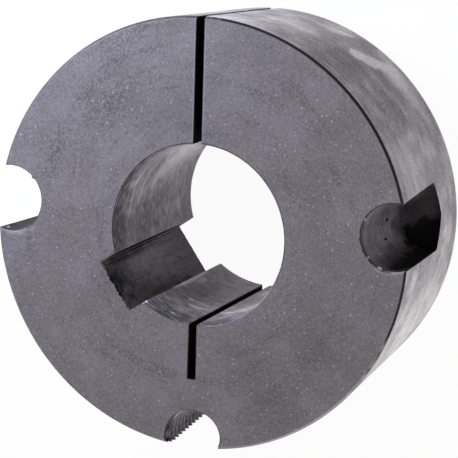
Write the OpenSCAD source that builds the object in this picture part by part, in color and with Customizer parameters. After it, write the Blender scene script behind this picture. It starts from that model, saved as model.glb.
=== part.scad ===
/* [Body] */
// Diameter at the large end, where the set screws go in
large_end_d = 107.95; // [95:0.05:125]
// Length from the small end to the large end
body_len = 50.8; // [36:0.1:64]
// Slope of the outer seat, measured on one side
taper_angle = 4; // [2:0.25:6]
// Chamfer round the rim of the large end
large_end_chamfer = 0.65; // [0.3:0.05:1.5]
// Chamfer round the rim of the small end
small_end_chamfer = 0.3; // [0.1:0.05:1.5]

/* [Bore] */
// Diameter of the shaft bore
bore_d = 45; // [24:0.5:54]
// Chamfer at both ends of the bore
bore_chamfer = 0.3; // [0.1:0.05:1]

/* [Keyway] */
// Width of the keyway
key_w = 14; // [6:0.5:16]
// Depth of the keyway, measured at the middle of the bore wall
key_depth = 3.8; // [2:0.1:6]
// Angle of the keyway, counted from the split
key_angle = 125; // [105:1:150]

/* [Split and relief cut] */
// Width of the saw cut that splits the ring
split_w = 2; // [1.5:0.1:4]
// Distance by which both saw cuts lie beside the axis
saw_offset = 0.7; // [0:0.1:2]
// Width of the relief cut on the far side of the bore
relief_w = 2; // [1.5:0.1:4]
// Metal left between the relief cut and the jacking half-hole
relief_web = 8; // [5:0.1:13]

/* [Set-screw half-holes] */
// Distance of all three hole centres inside the rim of the large end
hole_centre_inset = 3.175; // [0:0.025:5]
// Diameter of the two plain half-holes
screw_hole_d = 16.7; // [10:0.1:18]
// Depth of the plain half-holes at full diameter
screw_hole_depth = 30.6; // [16:0.1:32]
// Point angle of the drill that made the plain half-holes
drill_point_angle = 130; // [112:1:150]
// Angle from the split to each plain half-hole
screw_hole_angle = 85; // [70:1:92]

/* [Jacking half-hole] */
// Diameter of the jacking half-hole, drilled ready for its thread
jack_hole_d = 12.9; // [8:0.1:15]
// Angle from the split to the jacking half-hole
jack_hole_angle = 180; // [172:1:188]

/* [Hidden] */
$fn = 144;
eps = 0.01;
bore_r = bore_d / 2;
large_end_r = large_end_d / 2;
taper_slope = tan(taper_angle);
// The seat starts below the rim chamfer and ends above the small end's chamfer.
seat_top_z = body_len - large_end_chamfer;
seat_low_r = large_end_r - (seat_top_z - small_end_chamfer) * taper_slope;
small_end_r = seat_low_r - small_end_chamfer;
hole_circle_r = large_end_r - hole_centre_inset;
// Places of the features round the axis, with the split straight up along +Y.
split_direction = 90;
key_direction = split_direction + key_angle;
jack_direction = split_direction + jack_hole_angle;
// The keyway's floor, and how far its cutter stands back into the open bore.
key_floor_r = bore_r + key_depth;
key_cut_start = bore_r / 2;
// The relief cut starts inside the open bore, where it removes nothing.
relief_start = bore_r / 2;
relief_reach = hole_circle_r - jack_hole_d / 2 - relief_web;
// Height of the cone that the drill's point leaves below the full diameter.
drill_point_h = screw_hole_d / 2 / tan(drill_point_angle / 2);
// Cuts run past the faces that they open on.
overrun = 1;

// Section of the tapered ring, turned about the axis
module tapered_ring() {
    rotate_extrude()
        polygon([
            [bore_r + bore_chamfer, 0],
            [small_end_r, 0],
            [seat_low_r, small_end_chamfer],
            [large_end_r, seat_top_z],
            [large_end_r - large_end_chamfer, body_len],
            [bore_r + bore_chamfer, body_len],
            [bore_r, body_len - bore_chamfer],
            [bore_r, bore_chamfer]
        ]);
}

// Saw cut through the ring's wall, from the bore to the rim
module split_cut() {
    translate([-saw_offset - split_w / 2, 0, -overrun])
        cube([split_w, large_end_r + overrun, body_len + 2 * overrun]);
}

// Shorter saw cut opposite the split, which lets the ring close evenly
module relief_cut() {
    translate([-saw_offset - relief_w / 2, -relief_reach, -overrun])
        cube([relief_w, relief_reach - relief_start, body_len + 2 * overrun]);
}

// Keyway along the whole bore
module keyway_cut() {
    rotate([0, 0, key_direction])
        translate([key_cut_start, -key_w / 2, -overrun])
            cube([key_floor_r - key_cut_start, key_w, body_len + 2 * overrun]);
}

// Blind drilled hole that breaks out through the tapered seat
module screw_hole_cut(direction) {
    rotate([0, 0, direction])
        translate([hole_circle_r, 0, body_len - screw_hole_depth]) {
            cylinder(h = screw_hole_depth + overrun, d = screw_hole_d);
            translate([0, 0, -drill_point_h])
                cylinder(h = drill_point_h + eps, d1 = 0, d2 = screw_hole_d);
        }
}

// Hole for the jacking screw, open at both ends
module jack_hole_cut() {
    rotate([0, 0, jack_direction])
        translate([hole_circle_r, 0, -overrun])
            cylinder(h = body_len + 2 * overrun, d = jack_hole_d);
}

module bush() {
    color("dimgray")
        difference() {
            tapered_ring();
            split_cut();
            relief_cut();
            keyway_cut();
            for (side = [-1, 1])
                screw_hole_cut(split_direction + side * screw_hole_angle);
            jack_hole_cut();
        }
}

bush();
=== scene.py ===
from math import cos, radians, sin, tan
import bpy
import numpy as np
from mathutils import Matrix, Vector
from mathutils.geometry import delaunay_2d_cdt


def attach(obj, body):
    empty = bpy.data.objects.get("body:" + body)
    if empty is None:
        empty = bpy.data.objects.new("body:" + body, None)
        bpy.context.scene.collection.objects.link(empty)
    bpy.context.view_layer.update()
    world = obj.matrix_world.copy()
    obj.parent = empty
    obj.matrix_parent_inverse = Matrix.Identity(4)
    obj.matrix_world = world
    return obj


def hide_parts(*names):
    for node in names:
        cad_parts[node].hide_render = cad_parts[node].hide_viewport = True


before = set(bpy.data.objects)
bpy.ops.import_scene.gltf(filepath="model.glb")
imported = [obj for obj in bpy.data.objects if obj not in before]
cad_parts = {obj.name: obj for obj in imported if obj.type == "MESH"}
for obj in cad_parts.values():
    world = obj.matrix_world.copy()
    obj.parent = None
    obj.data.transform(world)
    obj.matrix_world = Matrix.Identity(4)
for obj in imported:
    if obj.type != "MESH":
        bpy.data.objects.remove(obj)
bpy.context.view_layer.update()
mm = 0.001

# The photographed view, looking down on the large end, in millimetres and degrees
photoView = {
    "aim": (8.21, 2.39, 50.8),  # point of the large end that the lens looks at
    "azimuth": 119.19,  # 0 looks along +Y
    "elevation": 65.95,
    "roll": -115.4,  # turns the picture until the split stands up
    "distance": 746.3,
    "lens": 240.67,
    "sensor": 36,
}


def aimCamera(view):
    # back = (sin a cos e, -cos a cos e, sin e); right and up are turned about it by the roll
    a, e, r = (radians(view[k]) for k in ("azimuth", "elevation", "roll"))
    back = Vector((sin(a) * cos(e), -cos(a) * cos(e), sin(e)))
    level = Vector((cos(a), sin(a), 0))
    upright = back.cross(level)
    right = level * cos(r) + upright * sin(r)
    up = upright * cos(r) - level * sin(r)
    camera = bpy.data.objects.new("photoCamera", bpy.data.cameras.new("photoCamera"))
    camera.data.lens = view["lens"]
    camera.data.sensor_width = view["sensor"]
    camera.data.clip_end = 50
    turn = Matrix((right, up, back)).transposed().to_4x4()
    place = (Vector(view["aim"]) + back * view["distance"]) * mm
    camera.matrix_world = Matrix.Translation(place) @ turn
    bpy.context.collection.objects.link(camera)
    bpy.context.scene.camera = camera


aimCamera(photoView)
print("camera placed")


def srgb(code):
    # Linear colour of a hex code: c / 12.92 below 0.04045, else ((c + 0.055) / 1.055) ^ 2.4
    c = np.array([int(code[i:i + 2], 16) / 255 for i in (1, 3, 5)])
    return (*np.where(c <= 0.04045, c / 12.92, ((c + 0.055) / 1.055) ** 2.4), 1)


def addNode(tree, kind, links=None, **settings):
    # kind is the node's type after ShaderNode, settings its own properties; links maps an input to a value,
    # a socket or a node, which stands for its first output
    node = tree.nodes.new("ShaderNode" + kind)
    for name, value in settings.items():
        setattr(node, name, value)
    for key, value in (links or {}).items():
        if isinstance(value, bpy.types.Node):
            value = value.outputs[0]
        if isinstance(value, bpy.types.NodeSocket):
            tree.links.new(value, node.inputs[key])
        else:
            node.inputs[key].default_value = value
    return node


# The bush in millimetres and degrees, on its small end, with the split straight up along +Y.
ironBush = {
    "length": 50.8,
    "rimRadius": 53.975,
    "taper": 4,
    "rimChamfer": 0.65,
    "footChamfer": 0.3,
    "boreRadius": 22.5,
    "boreChamfer": 0.3,
    "slitLeft": 1.7,  # how far each saw cut reaches left of the axis
    "slitRight": 0.3,
    "reliefReach": 36.35,
    "keyAngle": 215,
    "keyHalfWidth": 7,
    "keyFloor": 26.3,
    "holeCircle": 50.8,
    "holeRadius": 8.35,
    "holeDepth": 30.6,
    "drillPoint": 130,
    "leftHole": 175,
    "rightHole": 365,
    "jackHole": 270,
    "threadCrest": 6.459,  # inch thread, 5/8 across and 11 to the inch
    "threadRoot": 7.32,  # filled by oil and swarf from its full 7.94
    "threadPitch": 2.309,
    "threadLead": -40,  # where a crest meets the top face, off the inmost point
    "threadFlat": 0.12,  # shares of the half turn that are crest and flank
    "threadFlank": 0.8,
    "threadMargin": 8.9,  # how far the finer rows of the thread reach to each side
    "threadRows": 12,  # to each turn of it
    "threadColumns": 44,
    "holeColumns": 88,
    "edgeBreak": 0.1,
    "edgeRing": 0.08,  # flat ring that keeps the end faces' shading clean
    "cornerRound": 0.2,
    "footRows": (0.2, 0.26, 0.3, 0.34, 0.42),  # heights of the rows about the foot's chamfer
    "rimRows": (0.76, 0.7, 0.65, 0.6, 0.52, 0.38, 0.34, 0.3, 0.26, 0.2),  # depths of those about the rim's
    "blends": {"rim": 0.1, "foot": 0.08, "bore": 0.06},  # roundness of the chamfers' corners
    "sinkRadius": 6.75,  # deburring cone at the jack hole's mouth, made by hand and off its centre
    "sinkOff": 0.75,
    "sinkTurn": -125,
    "sinkSlope": 0.45,
    "sinkChip": (62, 100, 0.3, 0.75),  # first thread broken out: angles off the inmost point, least, growth
    "sinkChipDepth": 2.1,
    "sinkChipFade": 0.5,
    # raggedness of the end corners, lip being the keyway's upper one
    "chips": {"seat": 0.02, "bore": 0.05, "lip": 0.45, "key": 0.45, "cut": 0.03, "hole": 0.08},
    "chipSeed": 11,
    "chipSpread": (0.5, 0.45, 1.6),  # mean, spread and largest, as shares of those
    "footChips": 0.25,  # size at the foot, as a share
    "chipReach": 0.7,  # how deep down the walls the chips run
    "holeWear": {  # knocked edge of each drilled hole: from and to, off the inward direction, and width
        "leftHole": (-112, -30, 0.42),
        "rightHole": (-60, 112, 0.34),
    },
    "wearRamp": 40,  # degrees over which it starts and ends
    "wearWaves": [(0.2, 3.1, 0), (0.16, 1.7, 1)],  # size, degrees a radian, and start
    "wearMean": 0.75,
    "knockedFrom": 0.04,  # wear that shows the edge's finish
    "burrs": {  # turned-in slivers on the drilled holes' edges: angle, half its width, reach
        "leftHole": [(49, 2.4, 0.75)],
        "rightHole": [(-31, 2.2, 0.25), (35, 2.2, 0.4), (61, 2.4, 0.3)],
    },
    "burrDepth": 0.7,
}


def softMin(a, b, width):
    # min(a, b) less (width - |a - b|)^2 / 4 width where the two are closer than width
    h = np.maximum(width - np.abs(a - b), 0)
    return np.minimum(a, b) - h * h / (4 * width)


def bushLevels(b):
    # Rows of the grid from foot to rim: height, how far sharp edges are broken, inset of the flat ring
    quarter = np.radians([90, 60, 30, 0])
    breakHeight = b["edgeBreak"] * (1 - np.sin(quarter))
    breakInset = b["edgeBreak"] * (1 - np.cos(quarter))
    flatInset = b["edgeBreak"] + b["edgeRing"]
    footHeight = np.r_[0, breakHeight, b["footRows"]]
    footInset = np.r_[flatInset, breakInset, np.zeros(len(b["footRows"]))]
    rimHeight = b["length"] - np.r_[b["rimRows"], breakHeight[::-1], 0]
    rimInset = np.r_[np.zeros(len(b["rimRows"])), breakInset[::-1], flatInset]
    full = b["length"] - b["holeDepth"]
    z = np.r_[
        footHeight,
        np.linspace(3, 15.5, 6),  # below the drilled holes
        np.linspace(holeOpening(b) + 0.01, full, 8),  # along their cones
        np.linspace(full, rimHeight[0], 13)[1:-1],  # along their walls
        rimHeight,
    ]
    inset = np.zeros_like(z)
    inset[: len(footInset)] = footInset
    inset[-len(rimInset):] = rimInset
    ring = np.zeros_like(z)
    ring[[0, -1]] = b["edgeRing"]
    return z, inset, ring


def rimAt(b, z):
    # Seat line: rim radius less tan(taper) per mm of depth, cut by 45 degree lines at both ends
    seatTop = b["length"] - b["rimChamfer"]
    seat = b["rimRadius"] - (seatTop - z) * tan(radians(b["taper"]))
    topLine = b["rimRadius"] - (z - seatTop)
    footRadius = b["rimRadius"] - (seatTop - b["footChamfer"]) * tan(radians(b["taper"]))
    footLine = footRadius - (b["footChamfer"] - z)
    return softMin(softMin(seat, topLine, b["blends"]["rim"]), footLine, b["blends"]["foot"])


def boreAt(b, z):
    # Bore radius, opened by a 45 degree line at both ends
    depth = np.minimum(z, b["length"] - z)
    chamfer = b["boreRadius"] + b["boreChamfer"] - depth
    return -softMin(np.full_like(z, -b["boreRadius"]), -chamfer, b["blends"]["bore"])


def drillSlope(b):
    return tan(radians(b["drillPoint"] / 2))  # growth of the cone's radius per mm of height


def drillTip(b):
    return b["length"] - b["holeDepth"] - b["holeRadius"] / drillSlope(b)


def holeOpening(b):
    # Height where the drill's cone first reaches the seat: slope (z - tip) = seat radius - hole circle
    t = tan(radians(b["taper"]))
    seatAtZero = b["rimRadius"] - (b["length"] - b["rimChamfer"]) * t
    return (seatAtZero - b["holeCircle"] + drillSlope(b) * drillTip(b)) / (drillSlope(b) - t)


def polar(radius, angle):
    return np.stack([radius * np.cos(angle), radius * np.sin(angle)], -1)


def breakout(b, r, rim):
    # Angle off the inward direction at which a circle of radius r about the hole centre meets the rim
    c = b["holeCircle"]
    return np.arccos(np.clip((c * c + r * r - rim * rim) / (2 * c * r), -1, 1))


def aroundHole(b, direction, r, phi):
    # Point at radius r and angle phi off the inward direction, about a hole's centre
    centre = polar(b["holeCircle"], np.radians(direction))
    return centre + polar(r, np.radians(direction + 180) + phi)


def steps(n):
    return np.linspace(0, 1, n)[None, :]


def arc(radius, start, end, n):
    # Points radius (cos t, sin t) with t from start to end; columns far from an end stay put when it moves
    s = steps(n)
    t0, t1 = np.median(start), np.median(end)
    t = t0 + (t1 - t0) * s + (start - t0)[:, None] * (1 - s) ** 4 + (end - t1)[:, None] * s ** 4
    return polar(radius[:, None], t)


def corner(before, tip, after):
    # Quadratic curve (1-t)^2 before + 2t(1-t) tip + t^2 after, without its two end points
    t = np.array([0.2, 0.5, 0.8])[None, :, None]
    return (1 - t) ** 2 * before[:, None] + 2 * t * (1 - t) * tip[:, None] + t * t * after[:, None]


def unit(v):
    return v / np.linalg.norm(v, axis=-1, keepdims=True)


def holeWearAt(b, z, hole, phi):
    # Knocked edge: width smooth(window of phi) (mean + waves) (1 - depth / width)^2, in mm of radius,
    # less reach (1 - |phi - angle| / half) (1 - depth / burr depth) for each burr
    low, high, width = b["holeWear"][hole]
    phi = np.degrees(phi)
    depth = b["length"] - z
    window = np.clip(np.minimum(phi - low, high - phi) / b["wearRamp"], 0, 1)
    wave = sum(size * np.sin(phi / length + start) for size, length, start in b["wearWaves"])
    fall = np.clip(1 - depth / width, 0, 1) ** 2
    wear = width * window * window * (3 - 2 * window) * (b["wearMean"] + wave) * fall
    for at, half, reach in b["burrs"][hole]:
        tooth = np.clip(1 - np.abs(phi - at) / half, 0, 1) * np.clip(1 - depth / b["burrDepth"], 0, 1)
        wear = wear - reach * tooth
    return wear


def plainHole(b, z, inset, rim, hole):
    # Drilled half-hole: radius a(z) about the hole centre, full above the drill's cone
    direction = b[hole]
    a = np.clip(drillSlope(b) * (z - drillTip(b)), 0.5, b["holeRadius"]) + inset
    middle = np.radians(direction)
    closed = z < holeOpening(b)
    inner, tips, away = [], [], []
    for side in (1, -1):
        phi = breakout(b, a, rim)
        aSide = a + holeWearAt(b, z, hole, side * phi)
        phi = breakout(b, aSide, rim)
        opening = aSide * np.sin(phi)
        rounding = np.minimum(b["cornerRound"] * 1.2, 0.3 * opening)
        tips.append(aroundHole(b, direction, aSide, side * phi))
        inner.append(side * (phi - rounding / aSide))
        theta = np.arctan2(opening, b["holeCircle"] - aSide * np.cos(phi))
        away.append(np.where(closed, 0, theta + rounding / rim))
    s = steps(b["holeColumns"])
    phi = inner[0][:, None] * (1 - s) + inner[1][:, None] * s
    wall = aroundHole(b, direction, a[:, None] + holeWearAt(b, z[:, None], hole, phi), phi)
    leave, enter = polar(rim, middle - away[0]), polar(rim, middle + away[1])
    ends = corner(leave, tips[0], wall[:, 0]), corner(wall[:, -1], tips[1], enter)
    columns = np.concatenate([ends[0], wall, ends[1]], 1)
    return columns, middle - away[0], middle + away[1]


def threadAt(b, z, angle):
    # Radius of the right-hand thread: crest + depth smoothstep(triangle wave of z / pitch - angle / turn),
    # or of the deburring cone and the broken first turn at its mouth, where those are wider
    lead = angle - np.radians(b["jackHole"] + 180 + b["threadLead"])
    phase = ((z - b["length"]) / b["threadPitch"] - lead / (2 * np.pi)) % 1
    rise = np.clip((1 - np.abs(2 * phase - 1) - b["threadFlat"]) / b["threadFlank"], 0, 1)
    cut = b["threadCrest"] + (b["threadRoot"] - b["threadCrest"]) * rise * rise * (3 - 2 * rise)
    phi = angle - np.radians(b["jackHole"] + 180)
    mouth = b["sinkRadius"] + b["sinkOff"] * np.cos(phi - np.radians(b["sinkTurn"]))
    low, high, least, growth = b["sinkChip"]
    depth = b["length"] - z
    broken = b["threadCrest"] + least + growth * np.clip((np.degrees(phi) - low) / (high - low), 0, 1)
    fade = np.clip((b["sinkChipDepth"] - depth) / b["sinkChipFade"], 0, 1)
    broken = np.where(np.degrees(phi) > low, broken, 0) * fade
    return np.maximum(np.maximum(cut, mouth - b["sinkSlope"] * depth), broken)


def threadGrid(b, z, inset, rim):
    # Tapped half-hole: wall columns between the two angles at which the thread meets the rim
    middle = np.radians(b["jackHole"])
    inward = middle + np.pi
    edges = []
    for side in (1, -1):
        phi = np.full_like(z, side * 1.7)  # a first guess, which eight rounds settle
        for again in range(8):
            phi = side * breakout(b, threadAt(b, z, inward + phi) + inset, rim)
        edges.append(phi)
    s = steps(b["threadColumns"])
    phi = edges[0][:, None] + (edges[1] - edges[0])[:, None] * s
    r = threadAt(b, z[:, None], inward + phi) + inset[:, None]
    wall = aroundHole(b, b["jackHole"], r, phi)
    margin = np.arcsin(b["threadMargin"] / rim)
    columns = [wall]
    for place, side in ((0, -1), (-1, 1)):
        edge = np.arctan2(wall[:, place, 1], wall[:, place, 0]) % (2 * np.pi)
        far = middle + side * margin
        strip = polar(rim[:, None], far[:, None] + (edge - far)[:, None] * steps(3))[:, :-1]
        columns = [strip, *columns] if side < 0 else [*columns, strip[:, ::-1]]
    return np.concatenate(columns, 1)


def bodyOutline(b, z, inset, ring):
    # Each row's cross-section, anticlockwise from one side of the tapped hole to the other
    rim = rimAt(b, z) - ring
    bore = boreAt(b, z) + ring
    left, right = b["slitLeft"] + inset, b["slitRight"] + inset
    reach = b["reliefReach"] + inset
    f = b["cornerRound"]
    jackMargin = np.arcsin(b["threadMargin"] / rim)
    jack = np.radians(b["jackHole"])
    leftHole, leftStart, leftEnd = plainHole(b, z, inset, rim, "leftHole")
    rightHole, rightStart, rightEnd = plainHole(b, z, inset, rim, "rightHole")
    turn = 2 * np.pi

    def across(x, radius, side=1):
        return np.stack([x, side * np.sqrt(radius ** 2 - x ** 2)], -1)

    def angle(p):
        return np.arctan2(p[:, 1], p[:, 0])

    key = np.radians(b["keyAngle"])
    half = b["keyHalfWidth"] + inset
    keyBore = np.arcsin(half / bore)
    floor = b["keyFloor"] + inset
    along = np.array([cos(key), sin(key)])
    sideways = np.array([-sin(key), cos(key)])

    def inKey(u, v):
        return u[:, None] * along + v[:, None] * sideways

    def stretch(p, q, n):
        # Straight from p to q, trimmed for the roundings at its ends
        start, end = p + unit(q - p) * f, q - unit(q - p) * f
        return start[:, None] + (end - start)[:, None] * steps(n)[..., None]

    def boreArc(p, q, n):
        # Clockwise along the bore, trimmed in the same way
        a, c = angle(p), angle(q)
        c = np.where(c > a, c - turn, c)
        return arc(bore, a - f / bore, c + f / bore, n)

    # Corners from the split round to it again: label, tip, and columns of the run up to the next one
    lip = bore * np.cos(keyBore)
    corners = [
        ("cut", across(right, rim), 4), ("bore", across(right, bore), 56),
        ("cut", across(right, bore, -1), 3), ("cut", np.stack([right, -reach], -1), 2),
        ("cut", np.stack([-left, -reach], -1), 3), ("bore", across(-left, bore, -1), 12),
        ("lip", inKey(lip, half), 7), ("key", inKey(floor, half), 30),
        ("key", inKey(floor, -half), 7), ("bore", inKey(lip, -half), 34),
        ("cut", across(-left, bore), 4), ("seat", across(-left, rim), 0),
    ]
    splitRight, splitLeft = corners[0][1], corners[-1][1]
    runs = [
        ("seat", arc(rim, jack + jackMargin, rightStart, 44)),
        ("hole", rightHole),
        ("seat", arc(rim, rightEnd, angle(splitRight) + turn - f / rim, 44)),
    ]
    for (label, tip, n), (_, following, _) in zip(corners, corners[1:]):
        run = boreArc(tip, following, n) if label == "bore" else stretch(tip, following, n)
        runs += [(label, tip), ("key" if label == "lip" else label, run)]
    runs += [
        ("seat", splitLeft),
        ("seat", arc(rim, angle(splitLeft) + f / rim, leftStart, 44)),
        ("hole", leftHole),
        ("seat", arc(rim, leftEnd, jack - jackMargin, 44)),
    ]
    columns, labels = [], []
    for i, (label, points) in enumerate(runs):
        if points.ndim == 2:
            points = corner(columns[-1][:, -1], points, runs[i + 1][1][:, 0])
        columns.append(points)
        labels += [label] * points.shape[1]
    labels = np.array(labels)
    return chipEnds(b, z, np.concatenate(columns, 1), labels), labels


def chipEnds(b, z, body, labels):
    # End corners move into the metal by chip (1 - depth / reach)^2, with a random chip for each column
    rng = np.random.default_rng(b["chipSeed"])
    size = np.array([b["chips"][label] for label in labels])
    mean, spread, largest = b["chipSpread"]
    chip = size * np.clip(rng.normal(mean, spread, len(labels)), 0, largest)
    chip = np.minimum(chip, np.linalg.norm(np.gradient(body[-1], axis=0), axis=1))
    chip[[0, 1, 2, -3, -2, -1]] = 0  # where the thread's rows join on
    along = unit(np.gradient(body[len(z) // 2 + 4], axis=0))
    into = np.stack([-along[:, 1], along[:, 0]], -1)
    fall = np.clip(1 - (b["length"] - z) / b["chipReach"], 0, 1) ** 2
    fall = fall + b["footChips"] * np.clip(1 - z / b["chipReach"], 0, 1) ** 2
    return body + fall[:, None, None] * chip[None, :, None] * into[None]


finishes = ["face", "seat", "chamfer", "bore", "key", "cut", "hole", "thread", "edge"]
number = {name: i for i, name in enumerate(finishes)}


def fanStrip(pair, run):
    # Triangles between a coarse edge and the finer run beside it, half from each of its ends
    half = len(run) // 2
    anchor = np.where(np.arange(len(run) - 1) < half, pair[0], pair[1])
    fans = np.stack([anchor, run[:-1], run[1:]], -1).tolist()
    return fans + [[pair[0], run[half], pair[1]]]


def flatFace(points, ring):
    # Well-shaped triangles of a closed flat outline, as indices into the ring
    insideOnly, nearness = 1, 1e-9
    outline = [Vector(p) for p in points[ring][:, :2].tolist()]
    made = delaunay_2d_cdt(outline, [], [list(range(len(ring)))], insideOnly, nearness)
    triangles, origins = made[2], np.array([origin[0] for origin in made[3]])
    return ring[origins[np.array(triangles)]].tolist()


def buildBush(b):
    z, inset, ring = bushLevels(b)
    body, labels = bodyOutline(b, z, inset, ring)
    rows, cols = body.shape[:2]
    grid = np.arange(rows * cols).reshape(rows, cols)
    firstOpen = int(np.argmax(z > holeOpening(b)))
    polygons, finish = [], []

    def add(faces, name):
        polygons.extend(faces)
        finish.extend([number[name]] * len(faces) if isinstance(name, str) else list(name))

    def quads(g):
        return np.stack([g[:-1, :-1], g[:-1, 1:], g[1:, 1:], g[1:, :-1]], -1)

    def lifted(flat, heights):
        return np.dstack([flat, np.repeat(heights[:, None], flat.shape[1], 1)]).reshape(-1, 3)

    def onChamfer(heights):
        middle = (heights[:-1] + heights[1:]) / 2
        return (middle > b["length"] - b["rimChamfer"]) | (middle < b["footChamfer"])

    points = [lifted(body, z)]
    # The columns before and after each drilled hole meet below its opening
    inHole = labels == "hole"
    before, after = ~inHole & np.roll(inHole, -1), ~inHole & np.roll(inHole, 1)
    holes = list(zip(np.flatnonzero(before), np.flatnonzero(after)))
    keep = np.ones((rows - 1, cols - 1), bool)
    keep[:, [0, -1]] = False  # left for the tapped hole's finer rows
    for start, end in holes:
        grid[:firstOpen, end] = grid[:firstOpen, start]
        keep[:firstOpen, start:end] = False
    # A face takes the finish of the column it ends at, apart from the chamfer's rows
    codes = np.array([number["bore" if label == "lip" else label] for label in labels[1:]])
    code = np.repeat(codes[None, :], rows - 1, 0)

    def recode(chosen, name):
        return np.where(chosen, number[name], code)

    rowOnChamfer = onChamfer(z)
    code = recode(rowOnChamfer[:, None] & (code == number["seat"]), "chamfer")
    # broken corners have a finish of their own, apart from the keyway's, which keep its painted shade, and
    # the rim's
    middle = (z[:-1] + z[1:]) / 2
    onCorner = np.minimum(middle, b["length"] - middle)[:, None] < b["edgeBreak"]
    code = recode(onCorner & (code == number["chamfer"]), "face")
    code = recode(onCorner & (code != number["key"]) & (code != number["face"]), "edge")
    # so has the knocked edge of a drilled hole
    for hole, (_, _, width) in b["holeWear"].items():
        gap = np.linalg.norm(body - polar(b["holeCircle"], radians(b[hole])), axis=-1) - b["holeRadius"]
        knocked = (gap > b["knockedFrom"]) & (z > b["length"] - width)[:, None] & inHole
        code = recode(knocked[:-1, 1:], "edge")
    add(quads(grid)[keep].tolist(), code[keep])

    # Tip of each drilled hole, below the level where it opens through the seat
    count = rows * cols
    for (start, end), hole in zip(holes, ("rightHole", "leftHole")):
        points.append(np.array([[*polar(b["holeCircle"], radians(b[hole])), drillTip(b)]]))
        edge = grid[firstOpen, start:end + 1]
        fan = np.stack([np.full(len(edge) - 1, count), edge[1:], edge[:-1]], -1)
        add(fan.tolist(), "hole")
        add([[count, edge[0], edge[-1]]], "hole")
        add([[grid[firstOpen - 1, start], edge[-1], edge[0]]], "seat")
        count += 1

    # Tapped hole on finer rows, a whole number to each row of the body
    parts = np.maximum(np.ceil(np.diff(z) / (b["threadPitch"] / b["threadRows"])).astype(int), 1)
    place = np.concatenate([[0], np.cumsum(parts)])
    at = np.interp(np.arange(place[-1] + 1), place, np.arange(rows))
    fineZ, fineInset, fineRing = (np.interp(at, np.arange(rows), v) for v in (z, inset, ring))
    thread = threadGrid(b, fineZ, fineInset, rimAt(b, fineZ) - fineRing)
    points.append(lifted(thread, fineZ))
    fine = np.arange(thread[..., 0].size).reshape(thread.shape[:2]) + count
    fine4 = quads(fine)
    threadCode = np.full(fine4.shape[:2], number["thread"])
    margins = [0, 1, -2, -1]
    threadCode[:, margins] = np.where(onChamfer(fineZ), number["chamfer"], number["seat"])[:, None]
    add(fine4.reshape(-1, 4).tolist(), threadCode.reshape(-1))
    for i in range(rows - 1):
        name = "chamfer" if rowOnChamfer[i] else "seat"
        run = fine[place[i]:place[i + 1] + 1]
        add(fanStrip(grid[i:i + 2, -2], run[:, 0]), name)
        add(fanStrip(grid[i:i + 2, 1][::-1], run[::-1, -1]), name)

    # End faces, each one flat polygon
    closed = ~inHole
    closed[[0, -1, *(end for start, end in holes)]] = False
    verts = np.concatenate(points)
    top = np.r_[grid[-1, 1:-1], fine[-1]]
    foot = np.r_[grid[0, closed], fine[0]]
    add(flatFace(verts, top), "face")
    add([face[::-1] for face in flatFace(verts, foot)], "face")
    used = np.unique(np.concatenate(polygons))
    newIndex = np.zeros(len(verts), int)
    newIndex[used] = np.arange(len(used))
    mesh = bpy.data.meshes.new("ironBush")
    mesh.from_pydata((verts[used] * mm).tolist(), [], [newIndex[p].tolist() for p in polygons])
    mesh.polygons.foreach_set("material_index", np.array(finish, np.int32))
    mesh.polygons.foreach_set("use_smooth", np.ones(len(polygons), bool))
    mesh.set_sharp_from_angle(angle=radians(35))
    mesh.validate()
    piece = bpy.data.objects.new("ironBush", mesh)
    bpy.context.collection.objects.link(piece)
    return piece


bush = buildBush(ironBush)
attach(bush, "root")
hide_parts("bush")
print("bush built:", len(bush.data.polygons), "faces")


def newMaterial(name):
    material = bpy.data.materials.new(name)
    material.use_nodes = True
    material.node_tree.nodes.clear()
    return material, material.node_tree


def mottle(tree, size, detail, rough, turn=(0, 0, 0)):
    # Cloudy value about 0.5 whose blotches measure size in mm, one size or one along each axis of the part
    place = addNode(tree, "TexCoord").outputs["Object"]
    scale = [s * mm for s in np.ones(3) * size]
    links = {"Vector": place, "Rotation": turn, "Scale": scale}
    sized = addNode(tree, "Mapping", links, vector_type="TEXTURE")
    return addNode(tree, "TexNoise", {"Vector": sized, "Scale": 1.0, "Detail": detail, "Roughness": rough})


def ringMottle(tree, along, across, detail, rough):
    # The same in rings about the bore: noise at (trueAt direction / along, (radius + height) / across)
    trueAt = 40  # mm from the axis, where a streak is as long as `along` says
    place = addNode(tree, "TexCoord").outputs["Object"]
    flat = addNode(tree, "VectorMath", {0: place, 1: (1, 1, 0)}, operation="MULTIPLY")
    radius = addNode(tree, "VectorMath", {0: flat}, operation="LENGTH").outputs["Value"]
    way = addNode(tree, "VectorMath", {0: flat}, operation="NORMALIZE")
    circle = addNode(tree, "VectorMath", {0: way, "Scale": trueAt / along}, operation="SCALE")
    height = addNode(tree, "SeparateXYZ", {0: place}).outputs["Z"]
    track = addNode(tree, "Math", {0: radius, 1: height}, operation="ADD")
    track = addNode(tree, "Math", {0: track, 1: across * mm}, operation="DIVIDE")
    lift = addNode(tree, "CombineXYZ", {"Z": track})
    spot = addNode(tree, "VectorMath", {0: circle, 1: lift}, operation="ADD")
    return addNode(tree, "TexNoise", {"Vector": spot, "Scale": 1.0, "Detail": detail, "Roughness": rough})


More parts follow.
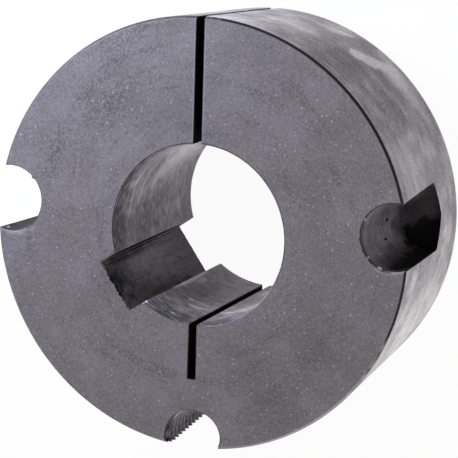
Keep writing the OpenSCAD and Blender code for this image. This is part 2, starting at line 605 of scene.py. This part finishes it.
def scattered(tree, cell, radius, share, across="3D"):
    # 1 inside small dots, in the given share of the cells of a random cell pattern, sizes in mm
    least = 0.4  # the smallest dot, a dot's solid core and the cells left half clear, as shares
    place = addNode(tree, "TexCoord").outputs["Object"]
    links = {"Vector": place, "Scale": 1 / (cell * mm)}
    dots = addNode(tree, "TexVoronoi", links, voronoi_dimensions=across)
    pick = addNode(tree, "SeparateColor", {0: dots.outputs["Color"]})
    reach = addNode(tree, "MapRange", {0: pick.outputs["Green"], 3: least * radius / cell, 4: radius / cell})
    near = addNode(tree, "Math", {0: dots.outputs["Distance"], 1: reach}, operation="DIVIDE")
    inside = addNode(tree, "MapRange", {0: near, 1: 1.0, 2: least})
    chosen = addNode(tree, "MapRange", {0: pick.outputs["Red"], 1: 1 - share, 2: 1 - least * share})
    return addNode(tree, "Math", {0: inside, 1: chosen}, operation="MULTIPLY")


def markAt(centre, size, strength=1.0, turn=(0, 0, 0)):
    # A mark about a point: half its sizes in mm, its turns in radians
    return centre, size, strength, turn


wallReach, faceReach = 6, 2  # how far a mark reaches into and out of a wall or a face, in mm


def onWall(radius, angle, depth, around, down, tilt=0, strength=1.0):
    # A mark on a round wall: angle in degrees, depth below the large end, half its width and height in mm
    a = radians(angle)
    centre = (radius * cos(a), radius * sin(a), ironBush["length"] - depth)
    return markAt(centre, (wallReach, around, down), strength, (radians(tilt), 0, a))


def onFace(x, y, half, across, turn=0, strength=1.0):
    # A mark on the large end, half its length and breadth in mm, turned by degrees
    return markAt((x, y, ironBush["length"]), (half, across, faceReach), strength, (0, 0, radians(turn)))


def onRing(radius, angle, half, across, strength=1.0):
    # The same, lying along a ring about the bore
    a = radians(angle)
    return onFace(radius * cos(a), radius * sin(a), half, across, angle + 90, strength)


def nearHole(hole, out, side, height, size, strength=1.0):
    # A mark by a drilled hole: mm outwards and anticlockwise of its centre, and height above the foot
    a = radians(ironBush[hole])
    reach = ironBush["holeCircle"] + out
    centre = (reach * cos(a) - side * sin(a), reach * sin(a) + side * cos(a), height)
    return markAt(centre, size, strength, (0, 0, a))


def onBurr(hole, phi, height, around, down, strength=1.0):
    # A mark on the wall of a drilled hole, at the angle phi off its inmost point
    a = radians(phi + 180)
    reach = ironBush["holeRadius"] - ironBush["edgeBreak"]
    return nearHole(hole, reach * cos(a), reach * sin(a), height, (around, around, down), strength)


def marked(tree, fade, ragged, grain, marks):
    # Largest over the marks of strength (1 - |p - place| / size - ragged noise) / fade, clamped at both ends
    place = addNode(tree, "TexCoord").outputs["Object"]
    noise = mottle(tree, grain, 4, 0.65)
    noise = addNode(tree, "MapRange", {0: noise, 3: -ragged, 4: ragged})
    total = 0.0
    for centre, size, strength, turn in marks:
        links = {"Vector": place, "Location": [v * mm for v in centre], "Rotation": turn,
                 "Scale": [v * mm for v in size]}
        sized = addNode(tree, "Mapping", links, vector_type="TEXTURE")
        away = addNode(tree, "VectorMath", {0: sized}, operation="LENGTH").outputs["Value"]
        away = addNode(tree, "Math", {0: away, 1: noise}, operation="ADD")
        share = addNode(tree, "MapRange", {0: away, 1: 1.0, 2: 1 - fade, 4: strength})
        total = addNode(tree, "Math", {0: total, 1: share}, operation="MAXIMUM")
    return total


def shift(tree, colour, towards, value, most=1, low=0, high=1):
    # Colour moved towards another by the share `most` as the value goes from low to high
    share = addNode(tree, "MapRange", {0: value, 1: low, 2: high, 4: most})
    return addNode(tree, "Mix", {0: share, 6: colour, 7: srgb(towards)}, data_type="RGBA").outputs[2]


# What the numbers of a look say. Clouds: size in mm, detail, roughness. Rings: length and width in mm, then
# the same. Dots: cell and radius in mm, share of cells with one. Marks: how far they fade, raggedness, its
# grain in mm, the marks. Layers, each moving the colour on towards another: colour, value, share, and the
# value where that starts and where it is full. Relief: value, height in mm.
makers = {"clouds": mottle, "rings": ringMottle, "dots": scattered, "marks": marked}


def makeFinish(look, addValues=None):
    # Phosphate and oil film over iron: a dielectric, so it brightens at low angles. A rough, pitted wall
    # swallows most of that light, which its lower shine stands for. addValues makes what one look alone has
    material, tree = newMaterial(look["name"])
    values = {"roughness": look["roughness"]}
    for kind, make in makers.items():
        for name, numbers in look.get(kind, {}).items():
            values[name] = make(tree, *numbers)
    if addValues:
        addValues(tree, look, values)
    colour = srgb(look["base"])
    for name, value, *limits in look["layers"]:
        colour = shift(tree, colour, look[name], values[value], *limits)
    relief, height = look["relief"]
    bump = addNode(tree, "Bump", {"Height": values[relief], "Distance": height * mm})
    skin = addNode(tree, "BsdfPrincipled", {"Base Color": colour, "Roughness": values["roughness"],
                                            "Normal": bump, "Specular IOR Level": look["shine"]})
    addNode(tree, "OutputMaterial", {"Surface": skin})
    return material


# Faced and phosphated grey iron: dull violet grey, sandy, with darker tool rings and a few bare grains
facedLook = {
    "name": "facedPhosphatedIron",
    "base": "#6b676b", "dark": "#464348", "pale": "#8c898f",
    "bare": "#b9b5ba", "grey": "#5b5555", "oil": "#1b191b",
    "clouds": {"grain": (0.52, 2, 0.75), "cloud": (11, 5, 0.6)},
    "rings": {"bands": (26, 3.2, 3, 0.6)},  # left by the facing tool
    "dots": {"pits": (1.2, 0.3, 0.3, "2D"), "grains": (1.3, 0.32, 0.14, "2D")},
    "marks": {
        "arcs": (0.8, 0.6, 1.6, [onRing(*m) for m in [  # stippled, darker arcs; on the upper left they are made strong and broad as painted shade
            (46.5, 108, 7, 1.2), (46.8, 118, 5, 1.3, 0.8), (41.8, 111, 6, 0.9, 0.8),
            (36.8, 103, 5, 0.8, 0.9), (44, 133, 5, 2.2, 0.7), (42, 155, 5, 1.6, 0.7), (36, 160, 4, 1, 0.5),
            (39.6, 27, 6, 1.6), (41.5, 14, 5, 1.4), (34.5, 36, 6, 1.2, 0.5), (37, -12, 4, 1.2, 0.5),
            (46, 60, 8, 1.4, 0.4), (40, 128, 24, 9, 0.35),
        ]]),
        "stainsAndShade": (0.9, 0.4, 8, [  # greyer, browner places; the large one on the lower right is painted shade
            onFace(-34, 2, 9, 15, 0, 0.4), onRing(28, 147, 2.6, 1.8, 0.8), onRing(24.8, 123, 2.2, 1.1, 0.9),
            onFace(-26, -24, 13, 9, -40, 0.15), onFace(26, -31, 24, 18, 35), onFace(36, 14, 8, 6, 0, 0.2),
        ]),
        "scratchesAndHighlights": (0.5, 0.4, 1.5, [onFace(*m) for m in [
            (-32.5, 15, 5, 0.1, 86), (-23, 34, 3, 0.1, 40), (30, 24, 4, 0.09, -30),
            (28.5, -21.5, 2.5, 0.1, 15),
            (0.6, 38, 22, 0.34, 90), (-2, 38, 22, 0.3, 90, 0.8),  # lips of the split, painted pale as edge highlights
        ]]),
        "rubsAndSheen": (0.9, 0.7, 0.9, [onFace(*m) for m in [  # pale, handled places
            (-49.8, -4.1, 4.2, 0.9, -3, 0.95), (-45.5, -3.2, 3.2, 0.5, 28, 0.5),
            (51, -4.2, 2.4, 0.5, 5, 0.9), (47, -4.1, 2.2, 0.4, -25, 0.5),
        ]]),
        "oily": (0.7, 0.5, 0.8, [
            onFace(-6.7, -49.4, 0.6, 1.2, 10, 0.9), onFace(44.6, 33.5, 1.5, 0.8, 0, 0.5),
        ]),
    },
    "arcShare": 0.38,  # how far an arc adds to the tool's bands
    "stippled": (0.52, 0.72),  # band at which the stipple starts and is full
    "hollow": (0.6, 0.38),  # grain at which it starts and is full
    "layers": [
        ("grey", "stainsAndShade"), ("pale", "grain", 0.75, 0.5, 0.8), ("dark", "grain", 0.75, 0.5, 0.22),
        ("dark", "stipple", 0.9), ("dark", "cloud", 0.25, 0.5, 0.3), ("pale", "cloud", 0.25, 0.5, 0.7),
        ("dark", "pits", 0.8), ("bare", "grains", 0.6), ("pale", "scratchesAndHighlights", 0.6),
        ("bare", "rubsAndSheen", 0.6), ("oil", "oily"),
    ],
    "roughness": (0.48, 0.6),  # in the hollows of the grain and on top of it
    "relief": ("grain", 0.02), "shine": 0.5,
}


def addStipple(tree, look, values):
    # Stipple: (bands + share arcs), from start to full, times how hollow the grain is, which shines
    grain = values["grain"]
    arcs = addNode(tree, "Math", {0: values["arcs"], 1: look["arcShare"]}, operation="MULTIPLY")
    band = addNode(tree, "Math", {0: values["bands"], 1: arcs}, operation="ADD")
    start, full = look["stippled"]
    band = addNode(tree, "MapRange", {0: band, 1: start, 2: full})
    start, full = look["hollow"]
    hollow = addNode(tree, "MapRange", {0: grain, 1: start, 2: full})
    values["stipple"] = addNode(tree, "Math", {0: band, 1: hollow}, operation="MULTIPLY")
    low, high = look["roughness"]
    values["roughness"] = addNode(tree, "MapRange", {0: grain, 1: 0.3, 2: 0.7, 3: low, 4: high})


def addGloss(tree, look, values):
    # Roughness: sharpest where a worn mark or the cloud is high, dullest where the dull mark outweighs them
    worn, bare, dull, cloud = (values[name] for name in look["gloss"])
    sharpest, dullest = look["roughness"]
    swing, poorest, best = 0.7, -1.2, 1.1  # how far the cloud moves the gloss, and the gloss's two ends
    lift = addNode(tree, "MapRange", {0: cloud, 1: 0.3, 2: 0.7, 3: -swing, 4: swing})
    gloss = addNode(tree, "Math", {0: worn, 1: bare}, operation="MAXIMUM")
    gloss = addNode(tree, "Math", {0: gloss, 1: dull}, operation="SUBTRACT")
    gloss = addNode(tree, "Math", {0: gloss, 1: lift}, operation="ADD")
    values["roughness"] = addNode(tree, "MapRange", {0: gloss, 1: poorest, 2: best, 3: dullest, 4: sharpest})


# Finish-turned seat: smoother, cloudy with handling, with pale rubbed places that shine; its largest pale
# places are painted light and its largest dark ones painted shade
seatRadius = 52
seatLook = {
    "name": "turnedPhosphatedIron",
    "base": "#71686f", "dark": "#332f33", "pale": "#bdb7bd", "pit": "#2a282a",
    "clouds": {"cloud": ((8, 8, 6.4), 5, 0.6), "grain": ((0.5, 0.5, 0.9), 3, 0.7)},
    "rings": {"lines": (12, 0.7, 3, 0.6)},
    "dots": {"left": (1.5, 0.6, 0.6), "pits": (1.8, 0.4, 0.3)},
    "marks": {
        "patches": (0.18, 0.6, 1.5, [onWall(seatRadius, *m) for m in [  # crisp, bare through the phosphate
            (56, 31, 2.6, 3.6, 0, 0.8), (53.5, 34, 3.6, 4.5, -20, 0.75), (50, 40, 2.6, 9, -35, 0.75),
            (46, 43, 5, 5, 0, 0.5), (66, 41, 1.8, 6, -28, 0.5), (-27, 22, 0.8, 6, -30, 0.9),
            (-1, 38, 1.5, 3, 20, 0.7),
        ]]),
        "rubsAndSheen": (0.7, 0.6, 2.5, [onWall(seatRadius, *m) for m in [  # pale places: some rubbed, the large ones near the top and at -25 degrees painted light
            (84, 1, 12, 8), (72, 0, 6, 3, 0, 0.7), (44, 42, 8, 8, -30, 0.5), (74, 24, 8, 16, 25, 0.4),
            (22, 12, 8, 14, 0, 0.4), (-9, 9, 5, 7, 20), (-25, 26, 19, 32, 0, 0.84), (-3, 40, 8, 6, 0, 0.6),
        ]]),
        "dullsAndShade": (0.9, 0.5, 4, [onWall(seatRadius, *m) for m in [  # darker, duller places: painted shade over the side between about 40 and 70 degrees
            (55, 16, 19, 26), (42, 22, 12, 26, 10), (47, 33, 3.5, 5, -30, 0.9), (59, 44, 5, 7, 0, 0.8),
            (69, 8, 6, 16, -20, 0.7),
        ]]),
    },
    "layers": [
        ("pale", "cloud", 0.5, 0.5, 0.74), ("dark", "cloud", 0.6, 0.5, 0.28), ("dark", "dullsAndShade", 0.8),
        ("pale", "rubsAndSheen", 0.6), ("pale", "patches"), ("pale", "lines", 0.45, 0.5, 0.78),
        ("dark", "lines", 0.4, 0.5, 0.25), ("pale", "grain", 0.5, 0.5, 0.75),
        ("dark", "grain", 0.7, 0.5, 0.27), ("pit", "pits", 0.8),
    ],
    "roughness": (0.14, 0.6),  # sharpest and dullest
    "gloss": ("rubsAndSheen", "patches", "dullsAndShade", "cloud"),  # two worn, one dull, and the cloud
    "relief": ("grain", 0.014), "shine": 0.5,
}


def addSeatWear(tree, look, values):
    # The pale patches less the spots of phosphate left in them, and the gloss
    links = {0: values["patches"], 1: values["left"]}
    values["patches"] = addNode(tree, "Math", links, operation="SUBTRACT")
    addGloss(tree, look, values)


# Bored wall: its pale base stands for light reaching deep inside, and painted shade darkens it at the large
# end and round 145 to 190 degrees; with reamer rings and bright scuffs that follow them
boreRadius = ironBush["boreRadius"]
keyLip = (0.4, 0.4, 1.5, [  # edge between the keyway and the bore, rubbed and painted pale as a highlight line along part of its length
    markAt((-13.6, -18.1, 50.4), (0.6, 0.6, 1), 0.9), markAt((-13.6, -18.1, 21), (1.2, 1.2, 14)),
])
boreLook = {
    "name": "boredPhosphatedIron",
    "base": "#9b939b", "dark": "#2a272a", "pale": "#e0dae1", "brown": "#78695f",
    "clouds": {"cloud": ((3.2, 3.2, 2.4), 5, 0.7)},
    "rings": {"lines": (5, 0.55, 5, 0.7)},
    "marks": {
        "scuffs": (0.8, 0.9, 1.4, [onWall(boreRadius, *m) for m in [  # bright scuffs from shafts
            (138, 33, 6, 12, 18), (130, 18, 3, 10, 20, 0.8), (152, 9, 4, 1, 0, 0.8), (157, 23, 5, 2, 4, 0.8),
            (147, 30, 8, 12, 5, 0.7), (143, 42, 5, 10, 10, 0.9), (110, 26, 11, 18, 0, 0.7),
            (160, 15, 6, 1.2, 0, 0.5), (168, 10, 5, 0.8, 0, 0.5), (183, 42, 2.8, 1.6, -10, 0.7),
            (247.5, 18.5, 1, 1.2), (256, 15, 3.5, 1.2, -15, 0.7), (256, 19, 2.8, 1, -8, 0.6),
            (250, 4, 0.8, 0.9, 0, 0.4), (238, 33, 1.4, 3, 0, 0.5), (281, 16, 6, 1.6, -22, 0.9),
            (287, 20, 3, 6, 10, 0.8), (278, 40, 1.8, 6, 0, 0.6),
        ]]),
        "oily": (0.8, 0.6, 3, [onWall(boreRadius, *m) for m in [  # painted shade, mostly along the large end and round 145 to 190 degrees
            (186, 18, 9, 18, 0, 0.5), (176, 20, 5, 4, 0, 0.5), (152, 0, 24, 8), (180, 0, 18, 13),
            (145, 19, 4, 2, 0, 0.5), (172, 30, 7, 9, 0, 0.4), (252, 0, 20, 17), (282, 0, 18, 13),
            (244, 22, 8, 26, 0, 0.45),
        ]]),
        "tints": (0.9, 0.6, 2, [onWall(boreRadius, *m) for m in [
            (243, 11, 2, 4), (241, 32, 4, 12), (276, 30, 3, 9), (285, 12, 9, 9, 0, 0.4),
        ]]),
        "lip": keyLip,
    },
    "layers": [
        ("brown", "tints", 0.7), ("dark", "cloud", 0.6, 0.5, 0.3), ("pale", "cloud", 0.5, 0.5, 0.72),
        ("dark", "oily", 0.95), ("pale", "scuffs"), ("pale", "lines", 0.5, 0.52, 0.78),
        ("dark", "lines", 0.8, 0.5, 0.26), ("pale", "lip"),
    ],
    "roughness": (0.16, 0.7),
    "gloss": ("scuffs", "lip", "oily", "lines"),
    "relief": ("lines", 0.012), "shine": 0.3,
}

# Broached keyway: a pale base that stands for light reaching the far end, painted shade near black at the
# large end and along the upper wall, faint lines along the broach's stroke and small tears
keyLook = {
    "name": "broachedIron",
    "base": "#cfcbcd", "dark": "#141213", "pale": "#e2dee1", "brown": "#b0abaa",
    "black": "#020202", "rubbedHighlight": "#c2b9c4",
    "clouds": {"strokes": ((0.6, 0.6, 12), 3, 0.6), "cloud": ((2.4, 2.4, 3.6), 5, 0.65),
               "tears": ((1.1, 1.1, 0.9), 3, 0.65)},
    "dots": {"pits": (1.9, 0.5, 0.35)},
    "marks": {
        "oily": (0.85, 0.4, 3, [markAt(*m) for m in [  # painted shade at the large end and along the upper wall
            ((-21.5, -15.1, 55), (20, 20, 40)), ((-24.8, -10.4, 42), (3, 3, 36), 0.9),
            ((-18.3, -19.7, 30), (2.6, 2.6, 24), 0.7), ((-17.9, -20.6, 18), (2, 1.5, 1.6)),
            ((-17.9, -20.6, 12), (2.6, 1.8, 4), 0.7),
        ]]),
        "corner": (0.3, 0.15, 1.5, [markAt(*m) for m in [  # painted shade, a black line along the upper wall's foot
            ((-23.3, -8.2, 30), (3.6, 0.6, 44), 1, (0, 0, 0.61)),
            ((-24.8, -10.4, 36), (0.6, 0.14, 26), 0.7, (0, 0, 0.61)),
        ]]),
        "lip": keyLip,
    },
    "layers": [
        ("brown", "cloud", 0.6, 0.45, 0.65), ("pale", "strokes", 0.5, 0.5, 0.75),
        ("dark", "strokes", 0.3, 0.5, 0.28), ("dark", "cloud", 0.4, 0.48, 0.3), ("dark", "oily"),
        ("dark", "tears", 0.7, 0.36, 0.26), ("dark", "pits", 0.9), ("black", "corner"),
        ("rubbedHighlight", "lip"),
    ],
    "roughness": 0.6, "relief": ("tears", 0.03), "shine": 0.04,
}

# Sawn walls, left rough and coloured near black as painted shade inside the slits
cutLook = {
    "name": "sawnShadedIron",
    "base": "#070606", "dark": "#030303",
    "clouds": {"strokes": ((6, 6, 0.4), 3, 0.6, (0.5, 0, 0))},
    "layers": [("dark", "strokes", 1, 0.5, 0.3)],
    "roughness": 0.8, "relief": ("strokes", 0.03), "shine": 0.03,
}

# Drilled wall: dark, with the drill's close rings, painted shade near black in the bottom and over parts of
# the wall, and a few blow holes
holeLook = {
    "name": "drilledIron",
    "base": "#7e797d", "dark": "#504b50", "pale": "#96918f",
    "oil": "#030202", "pore": "#050404", "bare": "#b9b3bc",
    "clouds": {"lines": ((5, 5, 0.6), 3, 0.6), "cloud": (4, 4, 0.6)},
    "marks": {
        # painted shade, near black towards each hole's bottom and over parts of its wall
        "oily": (0.55, 0.25, 3, [nearHole(*m) for m in [
            ("rightHole", 1, -10.5, 30, (14, 9, 44)), ("rightHole", 0, 0, 13, (20, 20, 20), 0.88),
            ("rightHole", -2, -6, 15, (16, 12, 18)), ("rightHole", 0, 11, 44, (12, 8, 14), 0.5),
            ("leftHole", 0, 0, 14, (20, 20, 16)), ("leftHole", 1, -12, 48, (12, 6, 12), 0.7),
        ]] + [onBurr(*m) for m in [
            ("rightHole", 10, 50.8, 9, 2.6, 0.4), ("rightHole", -34, 30, 6, 17, 0.45),
            ("leftHole", -98, 46, 1.8, 6, 0.7), ("leftHole", -62, 42, 14, 24, 0.8),
        ]]),
        "pores": (0.3, 0.2, 0.8, [markAt(*m) for m in [
            ((42.26, 4.72, 31.7), (0.7, 0.55, 1.3)), ((43.19, 0.6, 35), (0.6, 0.5, 1)),
            ((45.66, -2.3, 24.6), (1.6, 1.6, 1.8), 0.9),
        ]]),
        "nicks": (0.4, 0.4, 0.6, [onBurr(*m) for m in [
            ("rightHole", -31, 50.3, 0.35, 0.6, 0.8), ("rightHole", 35, 50.3, 0.35, 0.7, 0.8),
            ("rightHole", 61, 50.4, 0.5, 0.6, 0.8), ("rightHole", -20, 47, 0.4, 0.9, 0.4),
            ("rightHole", 40, 43, 0.25, 2.2, 0.35), ("leftHole", -99, 47.8, 0.4, 0.8, 0.9),
        ]]),
    },
    "layers": [
        ("pale", "lines", 0.6, 0.5, 0.75), ("dark", "lines", 0.6, 0.5, 0.28),
        ("dark", "cloud", 0.9, 0.52, 0.3), ("oil", "oily"), ("pore", "pores"), ("bare", "nicks"),
    ],
    "roughness": 0.6, "relief": ("lines", 0.015), "shine": 0.05,
}

# Tapped thread: crests painted pale as highlights and roots painted dark as shade, a little torn
threadMiddle = 6.85 * mm  # radius between the crests' painted highlight and the roots' painted shade
threadLook = {
    "name": "tappedIron",
    "base": "#454448", "dark": "#161517", "crestHighlight": "#74737b", "bare": "#a5a5ad",
    "clouds": {"tear": ((0.8, 0.8, 0.5), 3, 0.6)},
    "marks": {
        "worn": (0.6, 0.5, 0.9, [  # the mouth, rubbed bright
            markAt((-3.6, -45.6, 49.1), (3.8, 0.9, 0.8), 0.9, (0, 0, 0.61)),
            markAt((-7.3, -51.6, 49.4), (1.3, 1.3, 1.3), 0.4),
        ]),
    },
    "layers": [
        # painted shade in the roots, painted highlight on the crests
        ("dark", "radius", 1, threadMiddle, 7.3 * mm),
        ("crestHighlight", "radius", 1, threadMiddle, ironBush["threadCrest"] * mm),
        ("dark", "tear", 0.9, 0.5, 0.3), ("bare", "worn"),
    ],
    "roughness": 0.45, "relief": ("tear", 0.03), "shine": 0.15,
}


def addThreadRadius(tree, look, values):
    # Distance from the tapped hole's own axis, in metres
    place = addNode(tree, "TexCoord").outputs["Object"]
    middle = polar(ironBush["holeCircle"] * mm, radians(ironBush["jackHole"]))
    away = addNode(tree, "VectorMath", {0: place, 1: (*middle, 0)}, operation="SUBTRACT")
    away = addNode(tree, "VectorMath", {0: away, 1: (1, 1, 0)}, operation="MULTIPLY")
    values["radius"] = addNode(tree, "VectorMath", {0: away}, operation="LENGTH").outputs["Value"]


# Rim chamfer: left by the turning tool, with painted shade over its upper side
chamferLook = {
    "name": "shadedChamferIron",
    "base": "#8b868b", "pale": "#a8a4a8", "dark": "#646065", "oil": "#2d282d",
    "clouds": {"band": (3, 3, 0.6)},
    "marks": {
        "worn": (0.5, 0.3, 3, [onRing(53.5, -60, 22, 8, 0.6)]),
        # painted shade from below the right hole to just past the split, and thinner on to the left hole
        "oily": (0.12, 0.12, 3, [
            markAt((25.7, 15.5, 25), (50, 50, 120)), markAt((-41, 34.5, 25), (54, 54, 120), 0.75),
        ]),
    },
    "layers": [
        ("dark", "band", 0.8, 0.5, 0.3), ("pale", "band", 0.8, 0.5, 0.75), ("pale", "worn"),
        ("oil", "oily"),
    ],
    "roughness": 0.5, "relief": ("band", 0.01), "shine": 0.05,
}

# Broken corners: dark, bare and bright where they are knocked, with painted highlights on the bore's and the
# rim's lower edges
edgeLook = {
    "name": "wornLitEdgeIron",
    "base": "#2b272b", "dark": "#110f11", "pale": "#a9a5aa",
    "clouds": {"chips": (0.7, 3, 0.7)},
    "marks": {
        "worn": (0.5, 0.5, 1.2, [
            nearHole("leftHole", 0, 9, 50.8, (10, 6, 3), 0.45),
            nearHole("rightHole", 1, -9, 50.8, (4, 2.5, 3), 0.7),
            onBurr("rightHole", -31, 50.6, 0.5, 1, 0.7), onBurr("rightHole", 35, 50.6, 0.5, 1, 0.7),
            # the bore's edge at 270 and 300 degrees and the rim's at 250 are painted highlights
            onBurr("rightHole", 61, 50.6, 0.8, 1, 0.8), onWall(22.6, 300, 0, 16, 3, 0, 0.4),
            onWall(22.6, 270, 0, 8, 3, 0, 0.2), onWall(54, 250, 0, 40, 6, 0, 0.5),
        ]),
    },
    "layers": [
        ("dark", "chips", 1, 0.5, 0.3), ("pale", "worn"), ("base", "chips", 0.5, 0.45, 0.3),
    ],
    "roughness": 0.4, "relief": ("chips", 0.03), "shine": 0.2,
}

looks = {
    "face": (facedLook, addStipple),
    "seat": (seatLook, addSeatWear),
    "chamfer": (chamferLook,),
    "bore": (boreLook, addGloss),
    "key": (keyLook,),
    "cut": (cutLook,),
    "hole": (holeLook,),
    "thread": (threadLook, addThreadRadius),
    "edge": (edgeLook,),
}
for name in finishes:
    bush.data.materials.append(makeFinish(*looks[name]))
print("finishes made")

# Plain studio, in metres and watts: white floor and world, a soft key from the upper left, and from the
# lower right a low lamp for the seat and a high one that reaches down the bore
studio = {
    "floorSize": 8.0,
    "floorDrop": 0.00005,
    "paper": "#f2f2f2",
    "seenWhite": 0.945,  # share of the floor's seen colour that no shadow reaches
    "worldLight": 0.21,
    "lampAim": (0, 0, 0.04),
    "lamps": {
        "keyLamp": {"place": (-0.125, 0.127, 0.12), "size": 0.12, "power": 0.66, "tint": "#e6ecff"},
        "lowLamp": {"place": (0.29, -0.34, 0.12), "size": 0.15, "power": 0.75, "tint": "#fff4ea"},
        "boreLamp": {"place": (0.333, -0.121, 0.4), "size": 0.15, "power": 0.72, "tint": "#fbf7ff"},
    },
}


def seenDirectly(tree):
    # 1 for rays from the camera, a glossy bounce or through glass, else 0
    path = addNode(tree, "LightPath")
    seen = 0.0
    for ray in ("Is Camera Ray", "Is Glossy Ray", "Is Transmission Ray"):
        seen = addNode(tree, "Math", {0: seen, 1: path.outputs[ray]}, operation="MAXIMUM")
    return seen


def makeStudio(s):
    half = s["floorSize"] / 2
    mesh = bpy.data.meshes.new("studioFloor")
    corners = [(-half, -half, 0), (half, -half, 0), (half, half, 0), (-half, half, 0)]
    mesh.from_pydata(corners, [], [(0, 1, 2, 3)])
    floor = bpy.data.objects.new("studioFloor", mesh)
    floor.location.z = -s["floorDrop"]
    bpy.context.collection.objects.link(floor)
    material, tree = newMaterial("whitePaperFloor")
    paper = addNode(tree, "BsdfDiffuse", {"Color": srgb(s["paper"])})
    white = srgb("#ffffff")
    glow = addNode(tree, "Emission", {"Color": white})
    share = addNode(tree, "Math", {0: seenDirectly(tree), 1: s["seenWhite"]}, operation="MULTIPLY")
    both = addNode(tree, "MixShader", {0: share, 1: paper, 2: glow})
    addNode(tree, "OutputMaterial", {"Surface": both})
    mesh.materials.append(material)

    world = bpy.data.worlds.new("studioWorld")
    bpy.context.scene.world = world
    world.use_nodes = True
    tree = world.node_tree
    tree.nodes.clear()
    light = addNode(tree, "Background", {"Color": white, "Strength": s["worldLight"]})
    seen = addNode(tree, "Background", {"Color": white})
    both = addNode(tree, "MixShader", {0: seenDirectly(tree), 1: light, 2: seen})
    addNode(tree, "OutputWorld", {"Surface": both})

    for name, look in s["lamps"].items():
        lamp = bpy.data.lights.new(name, "AREA")
        lamp.shape = "DISK"
        lamp.size = look["size"]
        lamp.energy = look["power"]
        lamp.color = srgb(look["tint"])[:3]
        holder = bpy.data.objects.new(name, lamp)
        holder.location = look["place"]
        aim = Vector(s["lampAim"]) - holder.location
        holder.rotation_euler = aim.to_track_quat("-Z", "Y").to_euler()
        holder.visible_camera = False
        bpy.context.collection.objects.link(holder)


makeStudio(studio)
bpy.context.scene.view_settings.view_transform = "Standard"
print("studio set")
